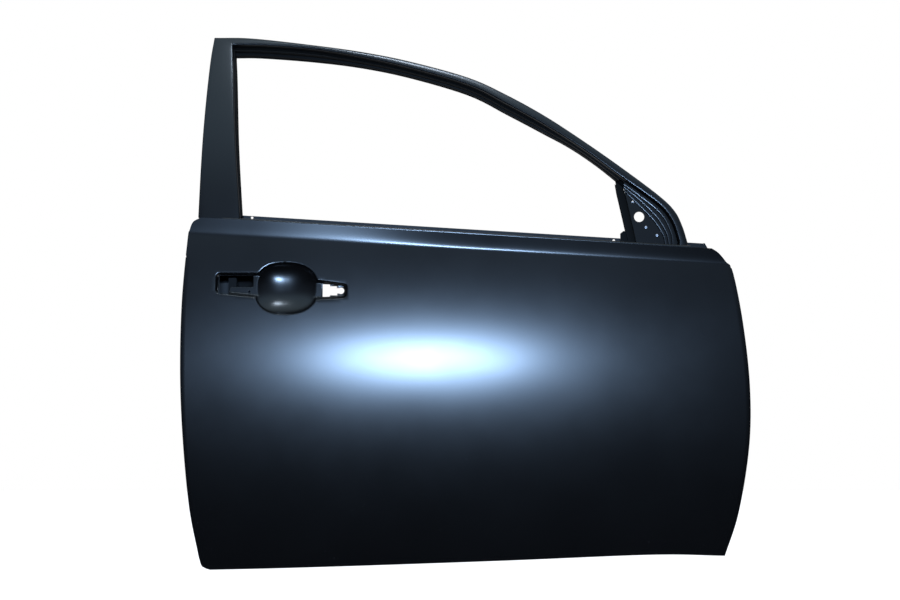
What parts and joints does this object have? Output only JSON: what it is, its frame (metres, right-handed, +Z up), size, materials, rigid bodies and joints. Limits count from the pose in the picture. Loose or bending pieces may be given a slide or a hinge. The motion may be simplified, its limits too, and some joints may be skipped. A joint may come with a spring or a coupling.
{
  "type": "car door shell",
  "caption": "Bare front right-hand car door shell in black primer: curved skin with handle recess, window frame, inner panel and reinforcements.",
  "frame": {"origin": "middle of the upper hinge face on the front wall", "axes": "+X towards the front of the car, +Y towards the inside of the car, +Z up"},
  "size_m": [1.134, 0.2699, 1.0854],
  "materials": {
    "panel_primer": "satin",
    "inner_primer": "satin",
    "reinforcement_primer": "matte",
    "nut_steel": "satin",
    "mastic": "matte"
  },
  "bodies": {
    "root": {"anti_flutter_pad_1": "mastic", "anti_flutter_pad_2": "mastic", "anti_flutter_pad_3": "mastic", "anti_flutter_pad_4": "mastic", "beam_bracket_front": "reinforcement_primer", "beam_bracket_rear": "reinforcement_primer", "belt_reinforcement_inner": "reinforcement_primer", "belt_reinforcement_outer": "reinforcement_primer", "check_link_reinforcement": "reinforcement_primer", "division_channel": "inner_primer", "division_channel_bracket": "reinforcement_primer", "glass_run_channel": "panel_primer", "handle_bracket": "reinforcement_primer", "hinge_reinforcement_lower": "reinforcement_primer", "hinge_reinforcement_upper": "reinforcement_primer", "hinge_weld_nut_lower_1": "nut_steel", "hinge_weld_nut_lower_2": "nut_steel", "hinge_weld_nut_upper_1": "nut_steel", "hinge_weld_nut_upper_2": "nut_steel", "impact_beam_tube": "reinforcement_primer", "inner_panel": "inner_primer", "latch_reinforcement": "reinforcement_primer", "mirror_triangle_panel": "panel_primer", "mirror_weld_nut_1": "nut_steel", "mirror_weld_nut_2": "nut_steel", "mirror_weld_nut_3": "nut_steel", "outer_panel": "panel_primer", "pull_handle_bracket": "reinforcement_primer", "rear_channel_bracket": "reinforcement_primer", "rear_glass_channel": "inner_primer", "sash_inner": "panel_primer", "sash_outer": "panel_primer"}
  },
  "joints": []
}
